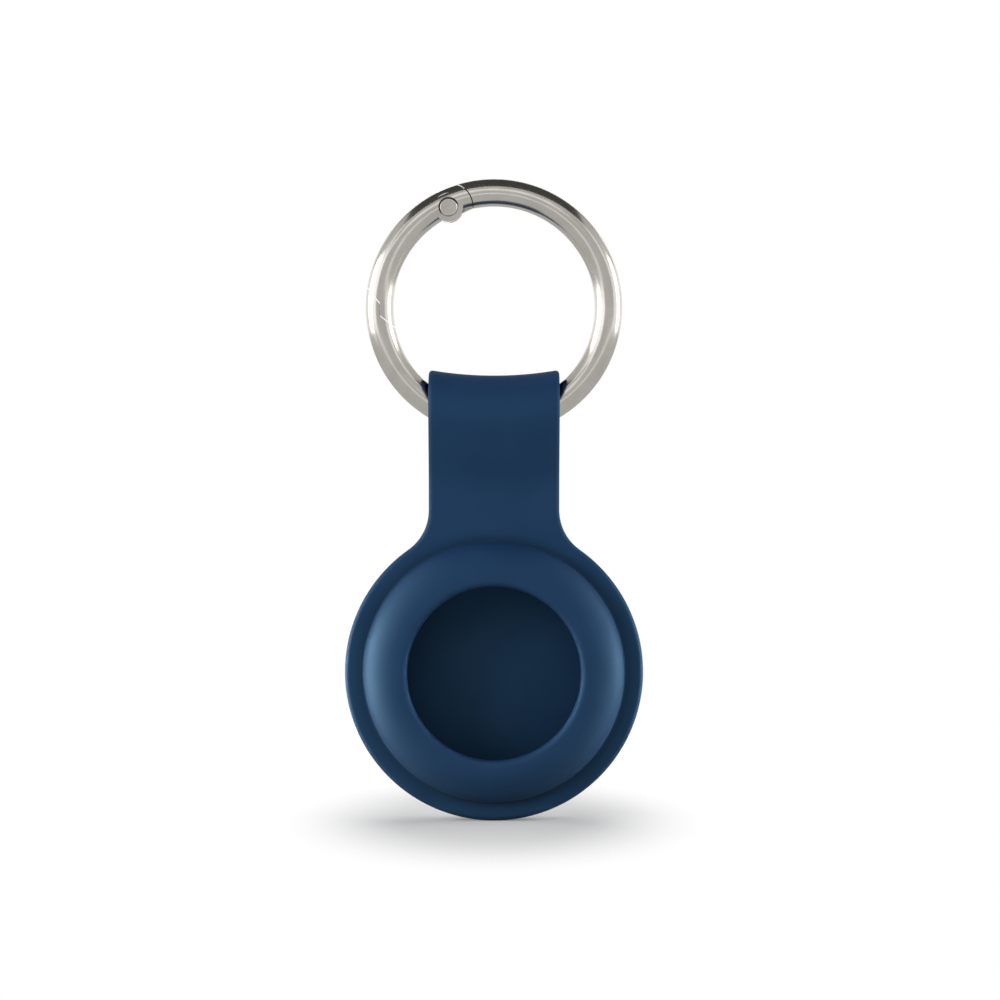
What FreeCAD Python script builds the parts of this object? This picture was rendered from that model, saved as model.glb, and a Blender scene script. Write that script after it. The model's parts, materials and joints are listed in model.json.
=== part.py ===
import FreeCAD, Part
import math
import os

# Tracker tag holder: a folded silicone holder hung on a spring-gate ring.
# Millimetres. Origin at the ring's centre, +Z up, front towards -Y.

# The tag that goes in, and its pocket
tag_diameter = 31.9
tag_thickness = 8.0
pocket_clearance = 0.15
pocket_end_clearance = 0.1
flap_relief = 0.2
shell_wall = 1.3
shoulder_depth = 3.4
lip_width = 4.55
lip_round = 0.85
lip_inner_round = 0.25
rim_flat = 0.15

# Flange and strap
leaf_thickness = 1.3
flange_overhang = 2.6
strap_width = 17.5
neck_radius = 6.6
neck_run = 1.0
strap_length = 13.4
edge_round = 0.6
crease_round = 0.3

# Bight: the loop of the strap around the ring
loop_clearance = 0.2
loop_sag = 0.7
lean_ease = 1.25
hinge_drop = 1.6
hinge_gap = 0.1

# Bead and groove that hold the two shells together
bead_radius = 0.5
bead_clearance = 0.1
bead_inset = 0.3

# Ring
ring_radius = 15.35
wire_diameter = 3.7

# Gate hinge
pivot_angle = 114.5
pivot_inset = 0.7
cheek_radius = 3.2
shoulder_gap = 0.15
boss_radius = 1.95
boss_thickness = 3.0
tongue_thickness = 1.2
tongue_radius = 1.45
tongue_side_clearance = 0.06
slot_clearance = 0.12
slot_run = 0.6
heel_depth = 1.05

# Rivet
rivet_diameter = 1.2
rivet_clearance = 0.05
rivet_head_diameter = 2.4
rivet_head_height = 0.3
rivet_head_round = 0.2
spotface_clearance = 0.15

# Gate spring
spring_wire = 0.2
spring_diameter = 1.0
spring_turns = 7
spring_length = 4.6
spring_clearance = 0.1
spring_offset = 0.45

# Latch: a stepped lap between the gate's nose and the ring's end
latch_outer_angle = 171.5
latch_step_angle = 184.5
latch_relief = 6.0
latch_gap = 0.1

V = FreeCAD.Vector
X = V(1, 0, 0)
Y = V(0, 1, 0)
Z = V(0, 0, 1)

wire_radius = wire_diameter / 2
half_strap = strap_width / 2
pocket_radius = tag_diameter / 2 + pocket_clearance
pocket_half = tag_thickness / 2 + pocket_end_clearance
shell_radius = pocket_radius + shell_wall
shell_half = pocket_half + shell_wall
flange_radius = shell_radius + flange_overhang
window_radius = pocket_radius - lip_width

# The shoulder falls from the rim of the window to the shell's side, and the pocket's corner follows it.
shoulder_width = shell_radius - window_radius - lip_round - rim_flat
pocket_corner = shoulder_depth - shell_wall

# The neck's arc touches the flange and the side of the strap.
neck_x = half_strap + neck_radius
neck_span = flange_radius + neck_radius
neck_z = math.sqrt(neck_span ** 2 - neck_x ** 2)

# The loop's channel holds the ring's wire over the width of the strap.
channel_low = -(ring_radius + wire_radius)
channel_high = -math.sqrt((ring_radius - wire_radius) ** 2 - half_strap ** 2)
swing_z = (channel_low + channel_high) / 2
channel_radius = (channel_high - channel_low) / 2 + loop_clearance
loop_radius = channel_radius + leaf_thickness
loop_z = swing_z - loop_sag / 2
sweep_radius = (half_strap ** 2 + loop_sag ** 2) / (2 * loop_sag)
sweep_axis = V(0, 0, loop_z + sweep_radius)

# Heights from the loop down: the end of the neck, the bend above it and the pocket.
neck_end = swing_z - strap_length
bend_z = neck_end + neck_run
plate_top = neck_end + neck_run / 2
pocket_z = neck_end - neck_z
pocket_centre = V(0, 0, pocket_z)
reach = ring_radius - pocket_z

# Each leaf leaves the flange on one arc and runs straight to the loop.
bend_drop = loop_z - bend_z
lean = lean_ease * math.asin(channel_radius / bend_drop)
lean_cos = math.cos(lean)
lean_sin = math.sin(lean)
lean_radius = (bend_drop * lean_sin - channel_radius) / (1 - lean_cos)


def polygon_prism(points, direction):
    """A prism on a closed polygon, run along direction."""
    face = Part.Face(Part.makePolygon(list(points) + [points[0]]))
    return face.extrude(direction)


def arc(start, middle, end):
    return Part.Arc(start, middle, end).toShape()


def line(start, end):
    return Part.makeLine(start, end)


def yz(y, z):
    return V(0, y, z)


def polar(radius, angle):
    """A point of the ring's plane, the angle in degrees from +X towards +Z."""
    turn = math.radians(angle)
    return V(radius * math.cos(turn), 0, radius * math.sin(turn))


def square_on(vector):
    """The vector turned a quarter turn from +X towards +Z."""
    return V(-vector.z, 0, vector.x)


def turned(vector, angle):
    turn = math.radians(angle)
    side = square_on(vector)
    return vector * math.cos(turn) + side * math.sin(turn)


def through(point, radius, half):
    """A cylinder along Y, centred on a point of the ring's plane."""
    return Part.makeCylinder(radius, 2 * half, point - Y * half, Y)


def mirrored(shape):
    return shape.mirror(V(0, 0, 0), Y)


def leaf_path(offset, side):
    """Bend start, middle and end, then the point where the leaf meets the loop."""
    bend = lean_radius - offset
    half = lean / 2
    start = yz(side * offset, bend_z)
    middle = yz(side * (lean_radius - bend * math.cos(half)), bend_z + bend * math.sin(half))
    end = yz(side * (lean_radius - bend * lean_cos), bend_z + bend * lean_sin)
    run = channel_radius + offset
    touch = yz(side * run * lean_cos, loop_z - run * lean_sin)
    return start, middle, end, touch


def loop_band():
    """Both leaves of the strap and the bight, from one teardrop section."""
    front = leaf_path(leaf_thickness, -1)
    back = leaf_path(leaf_thickness, 1)
    top = yz(0, loop_z + loop_radius)
    foot = bend_z - 2 * leaf_thickness
    foot_front = yz(-leaf_thickness, foot)
    foot_back = yz(leaf_thickness, foot)
    outer = Part.Wire([
        line(foot_front, front[0]),
        arc(front[0], front[1], front[2]),
        line(front[2], front[3]),
        arc(front[3], top, back[3]),
        line(back[3], back[2]),
        arc(back[2], back[1], back[0]),
        line(back[0], foot_back),
        line(foot_back, foot_front),
    ])
    front = leaf_path(0, -1)
    back = leaf_path(0, 1)
    top = yz(0, loop_z + channel_radius)
    inner = Part.Wire([
        arc(front[0], front[1], front[2]),
        line(front[2], front[3]),
        arc(front[3], top, back[3]),
        line(back[3], back[2]),
        arc(back[2], back[1], back[0]),
    ])
    face = Part.Face(outer).cut(Part.Face(inner)).Faces[0]
    swing = math.degrees(math.asin(half_strap / (sweep_radius - loop_radius))) + 1
    face.rotate(sweep_axis, Y, -swing)
    band = face.revolve(sweep_axis, Y, 2 * swing)
    block = Part.makeBox(
        strap_width, 4 * loop_radius, reach,
        V(-half_strap, -2 * loop_radius, plate_top))
    return band.common(block)


def outline_plate():
    """The front leaf's flange and neck, flat against the parting plane."""
    foot_x = neck_x * flange_radius / neck_span
    foot_z = neck_z * flange_radius / neck_span
    curl = (math.pi + math.atan2(neck_z, neck_x)) / 2 + math.pi / 2
    mid_x = neck_x + neck_radius * math.cos(curl)
    mid_z = neck_z + neck_radius * math.sin(curl)

    def at(x, z):
        return V(x, 0, pocket_z + z)

    strap_top = plate_top - pocket_z
    edge = Part.Wire([
        line(at(-half_strap, strap_top), at(half_strap, strap_top)),
        line(at(half_strap, strap_top), at(half_strap, neck_z)),
        arc(at(half_strap, neck_z), at(mid_x, mid_z), at(foot_x, foot_z)),
        arc(at(foot_x, foot_z), at(0, -flange_radius), at(-foot_x, foot_z)),
        arc(at(-foot_x, foot_z), at(-mid_x, mid_z), at(-half_strap, neck_z)),
        line(at(-half_strap, neck_z), at(-half_strap, strap_top)),
    ])
    return Part.Face(edge).extrude(Y * -leaf_thickness)


def quarter_ellipse(start, corner, end):
    """A quarter of an ellipse from start to end, drawn into a square corner."""
    curve = Part.BezierCurve()
    curve.setPoles([start, corner, end])
    curve.setWeight(2, math.sqrt(0.5))
    return curve.toShape()


def rounded_drum(radius, depth, corner_width, corner_depth):
    """A drum from the parting plane towards the front, its front edge rounded."""
    rim = V(radius, 0, 0)
    rise = V(radius, corner_depth - depth, 0)
    face_edge = V(radius - corner_width, -depth, 0)
    middle = V(0, -depth, 0)
    section = Part.Face(Part.Wire([
        line(V(0, 0, 0), rim),
        line(rim, rise),
        quarter_ellipse(rise, V(radius, -depth, 0), face_edge),
        line(face_edge, middle),
        line(middle, V(0, 0, 0)),
    ]))
    drum = section.revolve(V(0, 0, 0), Y, 360)
    drum.translate(pocket_centre)
    return drum


def circle_at(edge, radius, y):
    """Whether an edge is a circle about the pocket's axis at this radius and depth."""
    curve = edge.Curve
    near = edge_round / 100
    return (isinstance(curve, Part.Circle)
            and abs(curve.Radius - radius) < near
            and abs(curve.Center.y - y) < near
            and abs(curve.Center.z - pocket_z) < near)


def round_circle(shape, size, radius, y):
    edges = [edge for edge in shape.Edges if circle_at(edge, radius, y)]
    return shape.makeFillet(size, edges).Solids[0]


def normal_at(face, point):
    u, v = face.Surface.parameter(point)
    return face.normalAt(u, v)


def outer_edges(leaf):
    """Edges between the leaf's sides and its outer skin."""
    level = edge_round / 100
    found = []
    for edge in leaf.Edges:
        point = edge.valueAt((edge.FirstParameter + edge.LastParameter) / 2)
        away = yz(point.y, max(point.z - loop_z, 0))
        normals = [normal_at(face, point) for face in leaf.ancestorsOfType(edge, Part.Face)]
        side = [n for n in normals if abs(n.y) < level and away.dot(n) < level]
        skin = [n for n in normals if away.dot(n) > level]
        if side and skin:
            found.append(edge)
    return found


def open_shell(strap_band, hollow_radius):
    """Flange, strap and drum of one shell with its pocket, facing the front."""
    leaf = outline_plate().fuse(strap_band).removeSplitter().Solids[0]
    leaf = leaf.makeFillet(edge_round, outer_edges(leaf)).Solids[0]
    shell = leaf.fuse(rounded_drum(shell_radius, shell_half, shoulder_width, shoulder_depth))
    shell = shell.removeSplitter().Solids[0]
    shell = round_circle(shell, crease_round, shell_radius, -leaf_thickness)
    return shell.cut(rounded_drum(hollow_radius, pocket_half, pocket_corner, pocket_corner))


def hinge_zone(drop):
    """The side of the flap's hinge line that swings, cut square to the back leaf."""
    point = leaf_path(leaf_thickness, 1)[3] + back_leaf_down * drop
    square = yz(lean_cos, -lean_sin)
    inner = point - square * (point.y / lean_cos)
    outer = point + square * loop_radius
    corners = [inner, outer, yz(outer.y, -2 * reach), yz(0, -2 * reach)]
    start = X * -strap_width
    return polygon_prism([corner + start for corner in corners], X * (2 * strap_width))


def bead(radius):
    middle = (pocket_radius + shell_radius) / 2 + bead_inset
    return Part.makeTorus(middle, radius, pocket_centre, Y)


back_leaf_down = yz(-lean_sin, -lean_cos)
band = loop_band()

# Front shell, with the bight over the ring
front = open_shell(band.cut(hinge_zone(hinge_drop)), pocket_radius)
front = front.cut(Part.makeCylinder(window_radius, reach, pocket_centre, Y * -1))
front = round_circle(front.Solids[0], lip_round, window_radius, -shell_half)
front = round_circle(front, lip_inner_round, window_radius, -pocket_half)
front = front.cut(bead(bead_radius + bead_clearance)).Solids[0]

# Back shell, loose over the tag, with the bead that presses into the front shell's groove
back_band = mirrored(band.common(hinge_zone(hinge_drop + hinge_gap)))
back = mirrored(open_shell(back_band, pocket_radius + flap_relief))
behind = Part.makeBox(4 * reach, reach, 4 * reach, V(-2 * reach, 0, -2 * reach))
back = back.fuse(bead(bead_radius).cut(behind)).removeSplitter().Solids[0]

# Ring and gate, cut from one torus
torus = Part.makeTorus(ring_radius, wire_radius, V(0, 0, 0), Y)
outward = polar(1, pivot_angle)
noseward = square_on(outward)
pivot = outward * (ring_radius - pivot_inset)
far = 2 * wire_diameter


def break_direction(point):
    """The gate's way past a point as it opens, leaned off by the relief."""
    travel = square_on(point - pivot)
    return turned(travel.normalize(), -latch_relief)


def first_at(start, direction, radius):
    """Where a line going inwards first comes to a radius of the ring."""
    ahead = start.dot(direction)
    step = -ahead - math.sqrt(ahead ** 2 - start.dot(start) + radius ** 2)
    return start + direction * step


latch_rim = polar(ring_radius + wire_radius, latch_outer_angle)
latch_step = polar(ring_radius, latch_step_angle)
rim_break = break_direction(latch_rim)
step_break = break_direction(latch_step)
latch_line = [
    latch_rim - rim_break * far,
    first_at(latch_rim, rim_break, ring_radius),
    latch_step,
    latch_step + step_break * wire_diameter,
]


def gate_zone(gap, hinge_radius):
    """The stretch of the ring taken by the gate, its latch end drawn back by a gap."""
    shift = (X + Z) * gap
    points = [outward * (ring_radius - wire_diameter), outward * (ring_radius + far)]
    points += [point + shift for point in latch_line]
    zone = polygon_prism([point - Y * far for point in points], Y * (2 * far))
    return zone.fuse(through(pivot, hinge_radius, far))


def hinge_block(width, length, thickness):
    """A block from the pivot along the ring's body, centred on the ring's plane."""
    side = outward * (width / 2)
    tail = noseward * -length
    points = [pivot + side, pivot - side, pivot - side + tail, pivot + side + tail]
    return polygon_prism([point - Y * (thickness / 2) for point in points], Y * thickness)


rivet_radius = rivet_diameter / 2
head_radius = rivet_head_diameter / 2
boss_half = boss_thickness / 2
tongue_half = tongue_thickness / 2
slot_half = tongue_half + tongue_side_clearance

# Ring body, with the tongue that the gate's cheeks straddle
tongue = through(pivot, tongue_radius, tongue_half)
tongue = tongue.fuse(hinge_block(2 * tongue_radius, cheek_radius + wire_radius, tongue_thickness))
heel = pivot + noseward * heel_depth
past_heel = [heel + outward * far, heel - outward * far]
past_heel += [point + noseward * far for point in reversed(past_heel)]
tongue = tongue.cut(polygon_prism([point - Y * far for point in past_heel], Y * (2 * far)))
body = torus.cut(gate_zone(0, cheek_radius + shoulder_gap))
body = body.fuse(tongue).removeSplitter()
body = body.cut(through(pivot, rivet_radius + rivet_clearance, far)).Solids[0]

# Gate, with a slot for the tongue and a bore for the spring
spring_axis = pivot - outward * spring_offset
bore_radius = spring_diameter / 2 + spring_clearance
gate = torus.common(gate_zone(latch_gap, cheek_radius))
gate = gate.fuse(through(pivot, boss_radius, boss_half)).removeSplitter()
slot = hinge_block(2 * far, far, 2 * slot_half)
slot.translate(noseward * slot_run)
gate = gate.cut(slot)
gate = gate.cut(through(pivot, tongue_radius + slot_clearance, slot_half))
gate = gate.cut(Part.makeCylinder(bore_radius, heel_depth + spring_length, spring_axis, noseward))
gate = gate.cut(through(pivot, rivet_radius, far))
spotface = through(pivot, head_radius + spotface_clearance, far)
gate = gate.cut(spotface.cut(through(pivot, far, boss_half))).Solids[0]

# Rivet, headed over on both cheeks
rivet_half = boss_half + rivet_head_height
heads = through(pivot, head_radius, rivet_half)
rims = [edge for edge in heads.Edges if isinstance(edge.Curve, Part.Circle)]
heads = heads.makeFillet(rivet_head_round, rims)
heads = heads.cut(through(pivot, far, boss_half))
rivet = heads.fuse(through(pivot, rivet_radius, boss_half)).removeSplitter().Solids[0]

# Gate spring, pressed between the tongue's heel and the end of its bore
coil_radius = (spring_diameter - spring_wire) / 2
coil_height = spring_length - 2 * spring_wire
coil = Part.makeHelix(coil_height / spring_turns, coil_height, coil_radius)
coil_wire = Part.Wire(coil.Edges)
profile = Part.Wire(Part.makeCircle(spring_wire / 2, V(coil_radius, 0, 0), Y))
spring = coil_wire.makePipeShell([profile], True, True)
spring.Placement = FreeCAD.Placement(
    spring_axis + noseward * (heel_depth + spring_wire),
    FreeCAD.Rotation(Z, noseward))

pieces = {
    "front_shell": front,
    "back_shell": back,
    "ring_body": body,
    "ring_gate": gate,
    "gate_rivet": rivet,
    "gate_spring": spring,
}
os.makedirs("parts", exist_ok=True)
for name, piece in pieces.items():
    piece.exportStep("parts/" + name + ".step")
    print(name, piece.isValid(), round(piece.Volume, 3))

flap_pivot = leaf_path(leaf_thickness, 1)[3] + back_leaf_down * (hinge_drop + hinge_gap / 2)
print("swing z", swing_z, "pocket z", pocket_z, "flap", flap_pivot, "gate", pivot)
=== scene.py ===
import json
import math

import bmesh
import bpy
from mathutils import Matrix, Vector


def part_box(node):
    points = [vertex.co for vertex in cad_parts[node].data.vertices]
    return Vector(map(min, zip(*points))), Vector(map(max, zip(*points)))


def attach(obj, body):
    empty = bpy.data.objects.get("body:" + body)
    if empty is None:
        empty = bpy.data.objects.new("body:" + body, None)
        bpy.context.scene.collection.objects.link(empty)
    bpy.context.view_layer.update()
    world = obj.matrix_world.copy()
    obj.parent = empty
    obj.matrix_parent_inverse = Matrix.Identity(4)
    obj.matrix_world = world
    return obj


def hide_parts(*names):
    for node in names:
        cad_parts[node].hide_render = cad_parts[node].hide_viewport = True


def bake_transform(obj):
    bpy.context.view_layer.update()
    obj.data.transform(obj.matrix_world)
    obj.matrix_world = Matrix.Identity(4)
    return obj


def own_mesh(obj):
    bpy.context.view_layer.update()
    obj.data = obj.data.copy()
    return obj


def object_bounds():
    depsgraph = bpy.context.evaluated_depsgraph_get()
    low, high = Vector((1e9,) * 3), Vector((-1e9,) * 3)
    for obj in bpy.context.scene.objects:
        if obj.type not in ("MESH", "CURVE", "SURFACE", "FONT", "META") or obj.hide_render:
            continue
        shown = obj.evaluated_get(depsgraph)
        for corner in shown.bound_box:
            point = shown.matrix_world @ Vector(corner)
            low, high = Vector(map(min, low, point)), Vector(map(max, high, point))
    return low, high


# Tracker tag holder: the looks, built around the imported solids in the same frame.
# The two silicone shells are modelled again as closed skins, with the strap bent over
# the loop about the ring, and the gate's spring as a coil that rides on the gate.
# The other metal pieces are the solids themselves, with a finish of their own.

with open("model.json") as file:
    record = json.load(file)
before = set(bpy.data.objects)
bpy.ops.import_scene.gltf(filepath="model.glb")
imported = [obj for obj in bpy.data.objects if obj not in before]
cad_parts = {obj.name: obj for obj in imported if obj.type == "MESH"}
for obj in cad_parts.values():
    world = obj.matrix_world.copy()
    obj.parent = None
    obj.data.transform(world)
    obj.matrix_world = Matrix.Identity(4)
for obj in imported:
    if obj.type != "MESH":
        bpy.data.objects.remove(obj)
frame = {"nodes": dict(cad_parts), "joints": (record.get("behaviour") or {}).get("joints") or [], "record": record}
cad_low, cad_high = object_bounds()

MM = 0.001
joint_at = {joint["name"]: Vector(joint["pos_m"]) / MM for joint in frame["joints"]}
mounts = {mount["name"]: mount for mount in frame["record"]["mounts"]}
ring_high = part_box("ring_body")[1]

# Sizes of the silicone in millimetres, the same as in the solids
pocket_z = mounts["tag_pocket"]["pos_m"][2] / MM
pocket_radius = mounts["tag_pocket"]["dims"]["r_mm"]
pocket_half = 4.1
flap_relief = 0.2
shell_wall = 1.3
shoulder_depth = 3.4
lip_width = 4.55
lip_round = 0.85
lip_inner_round = 0.25
rim_flat = 0.15
leaf_thickness = 1.3
flange_overhang = 2.6
half_strap = 8.75
neck_radius = 6.6
neck_run = 1.0
edge_round = 0.6
crease_round = 0.3
bead_radius = 0.5
bead_clearance = 0.1
bead_inset = 0.3
loop_clearance = 0.2
loop_sag = 0.7
lean_ease = 1.25

# Sizes of the gate's spring, how far it stands out from the pivot, and the depth of the tongue's heel
spring_wire = 0.2
spring_diameter = 1.0
spring_turns = 7
spring_length = 4.6
spring_offset = 0.45
heel_depth = 1.05

# Fine edges that only the skins have: the moulded edge at the parting plane,
# and the place under the bight where the two skins meet
seam_round = 0.12
join_drop = 0.3

# How finely the skins are divided
section_steps = 24
neck_steps = 14
flange_steps = 140
face_steps = 4
round_steps = 6
seam_steps = 3
bead_steps = 12
shoulder_steps = 20
lean_steps = 10
leaf_steps = 24
loop_steps = 56
turn_steps = 24
wire_steps = 10
flat_shares = (0, 0.3, 0.65)

# How near two points are welded, in millimetres, and from how many degrees an edge stays sharp
weld_gap = 0.0012
sharp_angle = 50

# The drum and the neck, worked out from those sizes
shell_radius = pocket_radius + shell_wall
shell_half = pocket_half + shell_wall
flange_radius = shell_radius + flange_overhang
window_radius = pocket_radius - lip_width
shoulder_width = shell_radius - window_radius - lip_round - rim_flat
pocket_corner = shoulder_depth - shell_wall
crease_foot = shell_radius + crease_round
bead_centre = (pocket_radius + shell_radius) / 2 + bead_inset

neck_x = half_strap + neck_radius
neck_z = math.sqrt((flange_radius + neck_radius) ** 2 - neck_x ** 2)
neck_turn = math.atan2(neck_z, neck_x)

# The loop about the ring's wire, and the leaves that lean up to it
wire_radius = ring_high.y / MM
ring_outer = ring_high.z / MM
ring_inner = ring_outer - 2 * wire_radius
channel_high = -math.sqrt(ring_inner ** 2 - half_strap ** 2)
channel_radius = (channel_high + ring_outer) / 2 + loop_clearance
loop_z = joint_at["holder_swing"].z - loop_sag / 2
sweep_radius = (half_strap ** 2 + loop_sag ** 2) / (2 * loop_sag)
sweep_z = loop_z + sweep_radius

bend_z = pocket_z + neck_z + neck_run
bend_drop = loop_z - bend_z
lean = lean_ease * math.asin(channel_radius / bend_drop)
lean_radius = (bend_drop * math.sin(lean) - channel_radius) / (1 - math.cos(lean))


def spread(start, end, steps):
    """Evenly spaced values from start to end, both included."""
    return [start + (end - start) * step / steps for step in range(steps + 1)]


def arc(centre, radius, start, end, steps=round_steps):
    """Points of an arc in a section, its angles in degrees."""
    turns = [math.radians(angle) for angle in spread(start, end, steps)]
    return [(centre[0] + radius * math.cos(turn), centre[1] + radius * math.sin(turn))
            for turn in turns]


def outline(inset):
    """Edge of flange and neck about the pocket, drawn in, from the strap's right to its left."""
    curl = neck_radius + inset
    right = [(neck_x + curl * math.cos(turn), neck_z + curl * math.sin(turn))
             for turn in spread(math.pi, math.pi + neck_turn, neck_steps)]
    radius = flange_radius - inset
    rim = [(radius * math.cos(turn), radius * math.sin(turn))
           for turn in spread(neck_turn, -math.pi - neck_turn, flange_steps)]
    left = [(-x, z) for x, z in reversed(right)]
    return right + rim[1:-1] + left


def across(inset):
    """Points across the strap from left to right, drawn in at both sides."""
    return spread(inset - half_strap, half_strap - inset, section_steps)


def boundary(inset):
    """The outline closed by a line across the top of the neck."""
    return outline(inset) + [(x, neck_z) for x in across(inset)[1:-1]]


# Rounded edge of a leaf as (inset, height over the parting plane), from its outer face
edge_section = arc((edge_round, leaf_thickness - edge_round), edge_round, 90, 180)
edge_section += arc((seam_round, seam_round), seam_round, 180, 270, seam_steps)


def leaf_side(side):
    """Stations up one leaf to the loop: inner face (y, z) and outward direction (y, z)."""
    stations = []
    for turn in spread(0, lean, lean_steps):
        y = side * lean_radius * (1 - math.cos(turn))
        z = bend_z + lean_radius * math.sin(turn)
        stations.append((y, z, side * math.cos(turn), -math.sin(turn)))
    end_y, end_z, out_y, out_z = stations[-1]
    touch_y = channel_radius * out_y
    touch_z = loop_z + channel_radius * out_z
    for share in spread(0, 1, leaf_steps)[1:]:
        y = end_y + (touch_y - end_y) * share
        z = end_z + (touch_z - end_z) * share
        stations.append((y, z, out_y, out_z))
    return stations


def bight(side):
    """Stations over the loop, from the leaf on this side to the other."""
    stations = []
    for turn in spread(-lean, math.pi + lean, loop_steps)[1:]:
        out_y = side * math.cos(turn)
        out_z = math.sin(turn)
        stations.append((channel_radius * out_y, loop_z + channel_radius * out_z, out_y, out_z))
    return stations


def stepped_down(station, drop):
    """The station a little further down its leaf, towards the flange."""
    y, z, out_y, out_z = station
    return y + out_z * drop * math.copysign(1, out_y), z - abs(out_y) * drop, out_y, out_z


def strap_point(x, height, station):
    """A point of the strap, which dips in the middle of its width as the loop sags."""
    y, z, out_y, out_z = station
    flat_z = z + out_z * height
    swept_z = sweep_z - math.sqrt((sweep_z - flat_z) ** 2 - x ** 2)
    return Vector((x, y + out_y * height, swept_z)) * MM


def strap_section():
    """The strap's rounded section as (x, height), once round."""
    right = [(half_strap - inset, height) for inset, height in edge_section]
    left = [(-x, height) for x, height in reversed(right)]
    outer = [(x, leaf_thickness) for x in across(edge_round)[1:-1]]
    inner = [(-x, 0) for x in across(seam_round)[1:-1]]
    return outer + right + inner + left


def loft(skin, rows, closed=True):
    """Quads between neighbouring rows of points."""
    rings = [[skin.verts.new(point) for point in row] for row in rows]
    for low, high in zip(rings, rings[1:]):
        last = len(low) if closed else len(low) - 1
        for at in range(last):
            beside = (at + 1) % len(low)
            skin.faces.new((low[at], low[beside], high[beside], high[at]))
    return rings


def piece_of(name, skin):
    """An object with smooth shading from a finished skin."""
    bmesh.ops.recalc_face_normals(skin, faces=skin.faces)
    mesh = bpy.data.meshes.new(name)
    skin.to_mesh(mesh)
    skin.free()
    mesh.shade_smooth()
    mesh.set_sharp_from_angle(angle=math.radians(sharp_angle))
    piece = bpy.data.objects.new(name, mesh)
    bpy.context.scene.collection.objects.link(piece)
    return piece


def shell(name, side, outer, inner, stations):
    """One silicone shell: drum, flange, edge and strap, welded into a closed skin."""
    skin = bmesh.new()
    face_edge = boundary(edge_round)
    angles = [math.atan2(z, x) for x, z in face_edge]

    def place(x, z, height):
        return Vector((x, side * height, pocket_z + z)) * MM

    def ring(radius, height):
        return [place(radius * math.cos(angle), radius * math.sin(angle), height)
                for angle in angles]

    def plate(points, height):
        """Rows from the foot of the drum out to the edge of the leaf."""
        near = ring(crease_foot, height)
        far = [place(x, z, height) for x, z in points]
        return [[a.lerp(b, share) for a, b in zip(near, far)] for share in spread(0, 1, face_steps)]

    loft(skin, [ring(*point) for point in outer] + plate(face_edge, leaf_thickness)[1:])
    loft(skin, [ring(*point) for point in inner] + plate(boundary(seam_round), 0)[1:])
    loft(skin, [[place(x, z, height) for x, z in outline(inset)]
                for inset, height in edge_section], closed=False)

    section = strap_section()
    foot = [place(x, neck_z, height) for x, height in section]
    strap = [[strap_point(x, height, station) for x, height in section] for station in stations]
    end = loft(skin, [foot] + strap)[-1]
    skin.faces.new(end)

    bmesh.ops.remove_doubles(skin, verts=skin.verts, dist=weld_gap * MM)
    piece = piece_of(name, skin)
    normals = piece.modifiers.new("normals", "WEIGHTED_NORMAL")
    normals.keep_sharp = True
    return piece


# Sections of the drums as (radius, height over the parting plane)
drum_side = [(shell_radius - shoulder_width * (1 - x), shell_half - shoulder_depth * (1 - height))
             for x, height in arc((0, 0), 1, 90, 0, shoulder_steps)]
drum_side += arc((crease_foot, leaf_thickness + crease_round), crease_round, 180, 270)


def pocket_wall(radius):
    """From the pocket's roof round its corner to the parting plane."""
    corner = (radius - pocket_corner, pocket_half - pocket_corner)
    wall = arc(corner, pocket_corner, 90, 0, shoulder_steps)
    return wall + arc((radius + seam_round, seam_round), seam_round, 180, 270, seam_steps)


def parting_land(radius, start, end):
    """The parting face with its groove or bead, out to the foot of the drum."""
    return arc((bead_centre, 0), radius, start, end, bead_steps) + [(crease_foot, 0)]


window_lip = arc((window_radius + lip_inner_round, pocket_half + lip_inner_round),
                 lip_inner_round, 180, 270)
window_face = arc((window_radius + lip_round, shell_half - lip_round), lip_round, 180, 90)
front_outer = window_face + drum_side
front_inner = [window_face[0]] + window_lip + pocket_wall(pocket_radius)
front_inner += parting_land(bead_radius + bead_clearance, 180, 0)

back_pocket = pocket_radius + flap_relief
back_outer = [(share * shell_radius, shell_half) for share in flat_shares] + drum_side
back_inner = [(share * back_pocket, pocket_half) for share in flat_shares]
back_inner += pocket_wall(back_pocket) + parting_land(bead_radius, 180, 360)

front_leaf = leaf_side(-1)
over = bight(-1)
back_leaf = leaf_side(1)
join = stepped_down(over[-1], join_drop)

front = shell("silicone_front", -1, front_outer, front_inner, front_leaf + over + [join])
back = shell("silicone_back", 1, back_outer, back_inner, back_leaf[:-1] + [join])

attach(front, "holder")
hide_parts("front_shell")

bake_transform(back)
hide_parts("back_shell")


def coil(name, start, axis, side, length):
    """A coil of wire along an axis, its ends closed."""
    skin = bmesh.new()
    upright = axis.cross(side)
    radius = (spring_diameter - spring_wire) / 2
    wound = 2 * math.pi * spring_turns
    wire_section = arc((0, 0), spring_wire / 2, 0, 360, wire_steps)[:-1]
    rows = []
    for turn in spread(0, wound, spring_turns * turn_steps):
        spoke = side * math.cos(turn) + upright * math.sin(turn)
        centre = start + axis * (length * turn / wound) + spoke * radius
        rows.append([(centre + spoke * x + axis * z) * MM for x, z in wire_section])
    rings = loft(skin, rows)
    skin.faces.new(rings[0])
    skin.faces.new(rings[-1])
    return piece_of(name, skin)


# The spring lies in the gate between the heel of the ring's tongue and the end of its bore
pivot = joint_at["gate_open"]
outward = pivot.normalized()
noseward = Vector((-outward.z, 0, outward.x))
coil_start = pivot - outward * spring_offset + noseward * (heel_depth + spring_wire)
coil_length = spring_length - 2 * spring_wire
spring = coil("gate_coil", coil_start, noseward, outward, coil_length)
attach(spring, "gate")
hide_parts("gate_spring")
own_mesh(spring)

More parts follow.
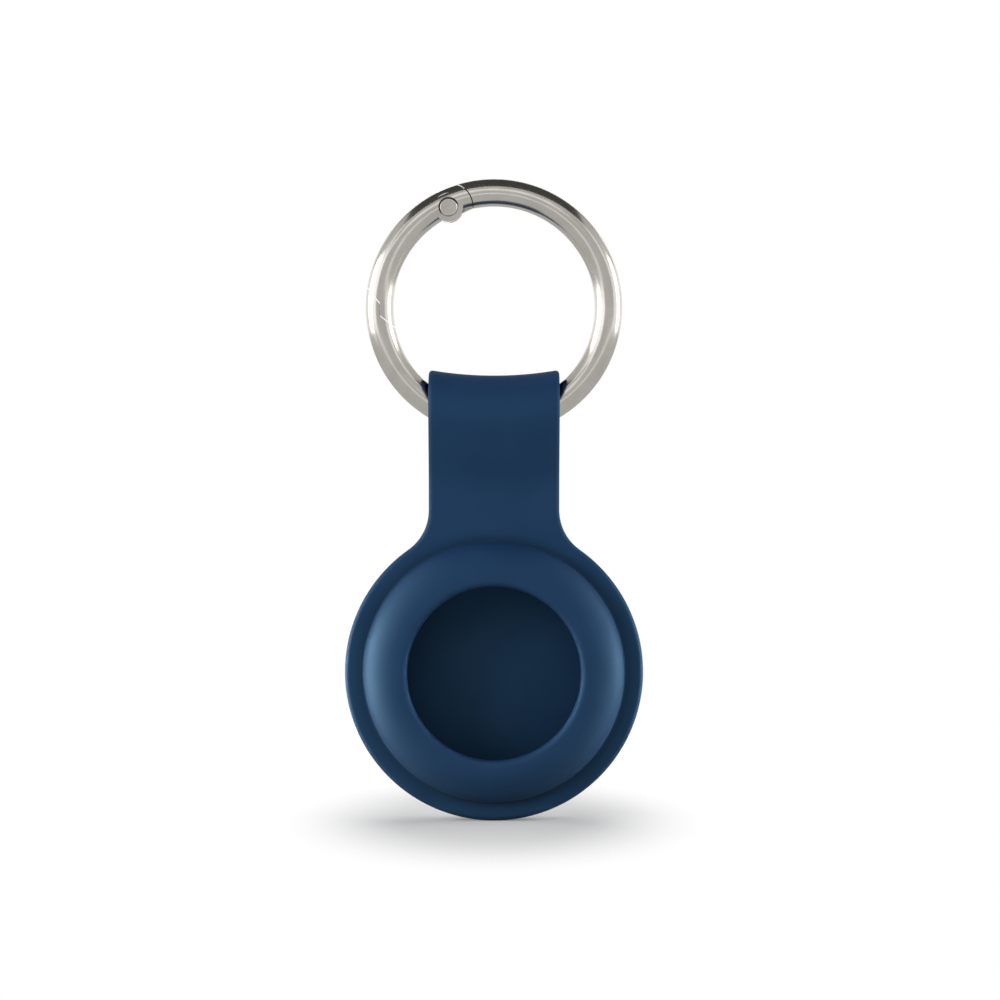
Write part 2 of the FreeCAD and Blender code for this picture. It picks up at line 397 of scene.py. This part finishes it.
# Finishes: where most of a noise's values lie, the samples that look for creases,
# and a Mix node's sockets for two colours and for the colour between them
noise_low = 0.3
noise_high = 0.7
shelter_samples = 12
mix_first = 6
mix_second = 7
mix_result = 2


class Nodes:
    """The node tree of a material or a world, with short ways to add and join nodes."""

    def __init__(self, owner):
        owner.use_nodes = True
        self.owner = owner
        self.tree = owner.node_tree

    def named(self, name):
        return self.tree.nodes[name]

    def add(self, kind, settings=None, **inputs):
        node = self.tree.nodes.new("ShaderNode" + kind)
        for key, value in (settings or {}).items():
            setattr(node, key, value)
        for key, value in inputs.items():
            self.give(node, key.replace("_", " "), value)
        return node

    def give(self, node, socket, value):
        """Sets a socket, or joins it to an output or to a node's first output."""
        if isinstance(value, bpy.types.Node):
            value = value.outputs[0]
        if isinstance(value, bpy.types.NodeSocket):
            self.tree.links.new(value, node.inputs[socket])
        else:
            node.inputs[socket].default_value = value

    def arithmetic(self, operation, first, second):
        node = self.add("Math", {"operation": operation})
        self.give(node, 0, first)
        self.give(node, 1, second)
        return node

    def length(self, vector):
        node = self.add("VectorMath", {"operation": "LENGTH"})
        self.give(node, 0, vector)
        return node.outputs["Value"]

    def position(self):
        return self.add("TexCoord").outputs["Object"]

    def noise(self, vector, size, detail=2.0):
        """Noise whose features are about this size in millimetres."""
        return self.add("TexNoise", Vector=vector, Scale=1 / (size * MM), Detail=detail)

    def mapped(self, value, low, high, start=noise_low, end=noise_high):
        """A value between start and end brought to between low and high."""
        return self.add("MapRange", Value=value, From_Min=start, From_Max=end,
                        To_Min=low, To_Max=high)

    def blend(self, share, first, second):
        """A colour between two colours or outputs."""
        node = self.add("Mix", {"data_type": "RGBA"})
        self.give(node, "Factor", share)
        self.give(node, mix_first, first)
        self.give(node, mix_second, second)
        return node.outputs[mix_result]

    def bump(self, height, depth, strength):
        """A bump of this depth in millimetres."""
        return self.add("Bump", Height=height, Distance=depth * MM, Strength=strength)

    def sheltered(self, reach, start, end):
        """0 deep in a crease or seam, 1 where nothing stands within the reach in millimetres."""
        shelter = self.add("AmbientOcclusion", {"samples": shelter_samples}, Distance=reach * MM)
        return self.mapped(shelter.outputs["AO"], 0, 1, start, end)

    def seen_directly(self):
        """1 for camera, mirror and see-through rays, and 0 for light that falls on things."""
        path = self.add("LightPath").outputs
        mirrored = self.arithmetic("MAXIMUM", path["Is Camera Ray"], path["Is Glossy Ray"])
        return self.arithmetic("MAXIMUM", mirrored, path["Is Transmission Ray"])


# Silicone: the painted shade in a crease, the colours at the two ends of its slow change of shade,
# sizes and depth of its features in millimetres, and its dullness
silicone_crease_painted_shade = (0.003, 0.013, 0.036, 1)
silicone_dark = (0.005, 0.023, 0.07, 1)
silicone_light = (0.007, 0.027, 0.08, 1)
silicone_tint = (0.36, 0.77, 1.0, 1)
silicone_ior = 1.5
shade_size = 9.0
handling_size = 5.0
handling_detail = 4.0
handled_roughness = (0.6, 0.68)
wave_size = 4.0
grain_size = 0.22
grain_detail = 3.0
skin_depth = 0.02
skin_strength = 0.25
crease_reach = 2.0
crease_shelter = (0.5, 0.95)
crease_dullness = 0.25


def silicone():
    """Matt moulded silicone: fine spark-eroded grain, slow shade changes, painted shade in deep creases, which are
    also duller.
    """
    nodes = Nodes(bpy.data.materials.new("silicone"))
    shader = nodes.named("Principled BSDF")
    position = nodes.position()
    shade = nodes.mapped(nodes.noise(position, shade_size), 0, 1)
    # Painted shade: the colour darkens towards the crease colour in creases and seams, where little light gets in,
    # and the roughness rises there too
    unshaded = nodes.sheltered(crease_reach, *crease_shelter)
    colour = nodes.blend(shade, silicone_dark, silicone_light)
    nodes.give(shader, "Base Color", nodes.blend(unshaded, silicone_crease_painted_shade, colour))
    handled = nodes.noise(position, handling_size, handling_detail)
    dull = nodes.mapped(unshaded, crease_dullness, 0, 0, 1)
    roughness = nodes.arithmetic("ADD", nodes.mapped(handled, *handled_roughness), dull)
    nodes.give(shader, "Roughness", roughness)
    waves = nodes.bump(nodes.noise(position, wave_size), skin_depth, skin_strength)
    grain = nodes.bump(nodes.noise(position, grain_size, grain_detail), skin_depth, skin_strength)
    nodes.give(grain, "Normal", waves)
    nodes.give(shader, "Normal", grain)
    shader.inputs["IOR"].default_value = silicone_ior
    shader.inputs["Specular Tint"].default_value = silicone_tint
    return nodes.owner


# Plate: colours at the two ends of its haze, the lines that run along the wire,
# how much smoother or rougher they are, and the painted shade that darkens the seams
nickel_dark = (0.68, 0.655, 0.6, 1)
nickel_light = (0.75, 0.725, 0.67, 1)
nickel_roughness = 0.17
steel_dark = (0.36, 0.355, 0.35, 1)
steel_light = (0.46, 0.455, 0.445, 1)
steel_roughness = 0.3
haze_size = 2.5
plate_detail = 3.0
line_size = 0.12
line_stretch = 25
line_depth = 0.004
line_strength = 0.3
line_smoother = 0.04
line_rougher = 0.05
seam_reach = 0.5
seam_shelter = (0.35, 0.85)
seam_painted_shade = (0.05, 0.046, 0.04, 1)


def plated(name, dark, light, roughness):
    """Polished plate with fine lines along the wire, a slight haze, and painted shade in the seams."""
    nodes = Nodes(bpy.data.materials.new(name))
    shader = nodes.named("Principled BSDF")
    position = nodes.position()
    axes = nodes.add("SeparateXYZ", Vector=position).outputs
    turn = nodes.arithmetic("ARCTAN2", axes["Z"], axes["X"])
    along = nodes.arithmetic("MULTIPLY", turn, ring_outer * MM / line_stretch)
    spoke = nodes.length(nodes.add("CombineXYZ", X=axes["X"], Z=axes["Z"]))
    lay = nodes.add("CombineXYZ", X=along, Y=axes["Y"], Z=spoke)
    lines = nodes.noise(lay, line_size, plate_detail)
    haze = nodes.mapped(nodes.noise(position, haze_size, plate_detail), 0, 1)
    # Painted shade: the colour darkens in the seams, where the pieces stand close and little light gets in
    unshaded = nodes.sheltered(seam_reach, *seam_shelter)
    nodes.give(shader, "Base Color", nodes.blend(unshaded, seam_painted_shade, nodes.blend(haze, dark, light)))
    polish = nodes.mapped(lines, roughness - line_smoother, roughness + line_rougher)
    nodes.give(shader, "Roughness", polish)
    nodes.give(shader, "Normal", nodes.bump(lines, line_depth, line_strength))
    shader.inputs["Metallic"].default_value = 1
    return nodes.owner


rubber = silicone()
nickel = plated("nickel", nickel_dark, nickel_light, nickel_roughness)
steel = plated("spring_steel", steel_dark, steel_light, steel_roughness)
for piece, finish in ((front, rubber), (back, rubber), (spring, steel)):
    piece.data.materials.append(finish)
for node in ("ring_body", "ring_gate", "gate_rivet"):
    frame["nodes"][node].material_slots[0].material = nickel

# Stage, in metres: a pale floor that is plain white away from the holder, soft boxes that
# light the holder, cards that stand for the studio in reflections, and two low grid lamps
middle = (cad_low + cad_high) / 2
up = Vector((0, 0, 1))
white = (1, 1, 1, 1)
room_light = 0.22

# The floor, and how its shadow fades to white: from where to where, how many times
# further in depth than in width, and the least share of white
floor_at = Vector((0, 0, cad_low.z))
floor_size = 6.0
floor_dark = (0.66, 0.66, 0.66, 1)
floor_light = (0.68, 0.68, 0.68, 1)
fibre_size = 30.0
fade_start = 0.011
fade_end = 0.029
fade_depth = 2.0
fade_least = 0.16

# What the floor looks like in the metal: a bright table, and a dark patch under the holder that is a painted
# shadow seen only in reflections
card_lift = 0.001
table_size = 0.8
table_level = 0.52
shade_width = 0.07
shade_depth = 0.06
shade_level = 0.1

# The grid lamps stand this far to each side and point this far under the pocket's middle
grid_distance = 0.12
grid_drop = 0.016
grid_width = 0.1
grid_height = 0.036
grid_spread = 35


def card(name, centre, facing, width, height):
    """A flat sheet of the stage, turned to face a point."""
    mesh = bpy.data.meshes.new(name)
    corners = [(-width / 2, -height / 2, 0), (width / 2, -height / 2, 0),
               (width / 2, height / 2, 0), (-width / 2, height / 2, 0)]
    mesh.from_pydata(corners, [], [(0, 1, 2, 3)])
    sheet = bpy.data.objects.new(name, mesh)
    sheet.location = centre
    sheet.rotation_euler = (facing - centre).to_track_quat("Z", "Y").to_euler()
    bpy.context.scene.collection.objects.link(sheet)
    return sheet


def paper():
    """Pale paper that shows its shadow near the holder and is plain white further off."""
    nodes = Nodes(bpy.data.materials.new("floor_paper"))
    shader = nodes.named("Principled BSDF")
    fibre = nodes.mapped(nodes.noise(nodes.position(), fibre_size), 0, 1)
    nodes.give(shader, "Base Color", nodes.blend(fibre, floor_dark, floor_light))
    shader.inputs["Roughness"].default_value = 1
    shader.inputs["Specular IOR Level"].default_value = 0
    nearness = nodes.add("VectorMath", {"operation": "DIVIDE"})
    nodes.give(nearness, 0, nodes.position())
    nodes.give(nearness, 1, (1, fade_depth, 1))
    fade = nodes.mapped(nodes.length(nearness), fade_least, 1, fade_start, fade_end)
    fade.interpolation_type = "SMOOTHSTEP"
    mixed = nodes.add("MixShader")
    nodes.give(mixed, 0, nodes.arithmetic("MULTIPLY", fade, nodes.seen_directly()))
    nodes.give(mixed, 1, shader)
    nodes.give(mixed, 2, nodes.add("Emission", Color=white, Strength=1))
    nodes.give(nodes.named("Material Output"), "Surface", mixed)
    return nodes.owner


def mirror_card(name, centre, facing, width, height, level):
    """A card of even brightness that shows only in reflections."""
    sheet = card(name, centre, facing, width, height)
    nodes = Nodes(bpy.data.materials.new(name))
    glow = nodes.add("Emission", Color=white, Strength=level)
    nodes.give(nodes.named("Material Output"), "Surface", glow)
    sheet.data.materials.append(nodes.owner)
    sheet.visible_camera = False
    sheet.visible_diffuse = False
    sheet.visible_shadow = False


def lamp(name, centre, facing, width, height, level):
    """A lamp with an even face of this brightness, which is not seen itself."""
    light = bpy.data.lights.new(name, "AREA")
    light.shape = "RECTANGLE"
    light.size = width
    light.size_y = height
    light.energy = level * math.pi * width * height
    box = bpy.data.objects.new(name, light)
    box.location = centre
    box.rotation_euler = (facing - centre).to_track_quat("-Z", "Y").to_euler()
    box.visible_camera = False
    bpy.context.scene.collection.objects.link(box)
    return box


floor = card("floor", floor_at, floor_at + up, floor_size, floor_size)
floor.data.materials.append(paper())

# Cards and soft boxes by name, place about the holder's middle, width, height and brightness
for name, offset, width, height, level in (
        ("front_card", (0, -0.9, 0), 1.8, 2.1, 0.52),
        ("front_strip", (-0.08, -0.7, 0.36), 0.6, 0.2, 0.95),
        ("ceiling_card", (0, 0.075, 0.5), 1.1, 1.05, 0.06),
        ("left_front_card", (-0.5, -0.5, 0.05), 0.35, 0.5, 1.3),
        ("left_card", (-0.397, -0.049, 0.083), 0.3, 0.25, 3.0),
        ("left_upper_card", (-0.45, 0.05, 0.33), 0.7, 0.26, 0.55),
        ("right_card", (0.4, 0, 0.083), 0.2, 0.25, 3.0),
        ("right_upper_card", (0.45, 0.05, 0.33), 0.7, 0.26, 0.55)):
    mirror_card(name, middle + Vector(offset), middle, width, height, level)
table_at = floor_at + card_lift * up
mirror_card("table_card", table_at, table_at + up, table_size, table_size, table_level)
# Painted shadow: the shade card is a dark sheet under the holder that only reflections see
shade_at = table_at + card_lift * up
mirror_card("shade_card", shade_at, shade_at + up, shade_width, shade_depth, shade_level)

for name, offset, width, height, level in (
        ("left_box", (-0.37, -0.15, 0.06), 0.34, 0.3, 6.5),
        ("right_box", (0.38, -0.06, 0.06), 0.2, 0.3, 7.5),
        ("front_box", (-0.1, -0.7, 0.4), 0.5, 0.4, 1.2),
        ("top_box", (0, 0.2, 0.48), 0.4, 0.4, 2.5)):
    lamp(name, middle + Vector(offset), middle, width, height, level).visible_glossy = False

# The grid lamps' narrow beams shine on the drum's flanks and miss the ring
pocket_at = Vector((0, 0, pocket_z)) * MM
for name, side, level in (("left_grid", -1, 3.1), ("right_grid", 1, 2.0)):
    beside = pocket_at + Vector((side * grid_distance, 0, 0))
    beam = lamp(name, beside, pocket_at - up * grid_drop, grid_width, grid_height, level)
    beam.data.spread = math.radians(grid_spread)
    beam.visible_diffuse = False

room = Nodes(bpy.data.worlds.new("studio"))
bpy.context.scene.world = room.owner
sky = room.named("Background")
sky.inputs["Color"].default_value = white
room.give(sky, "Strength", room.mapped(room.seen_directly(), room_light, 1, 0, 1))

# Camera straight in front, a touch above the middle
camera_distance = 0.45
camera_rise = 0.008
frame_pixels = 1000
pixels_per_metre = 7450
object_left_of_centre = 0.0008
camera = bpy.data.cameras.new("camera")
camera.lens = pixels_per_metre * camera_distance * camera.sensor_width / frame_pixels
eye = bpy.data.objects.new("camera", camera)
target = middle + Vector((object_left_of_centre, 0, 0))
eye.location = target + Vector((0, -camera_distance, camera_rise))
eye.rotation_euler = (target - eye.location).to_track_quat("-Z", "Y").to_euler()
bpy.context.scene.collection.objects.link(eye)
bpy.context.scene.camera = eye
bpy.context.scene.view_settings.view_transform = "Standard"
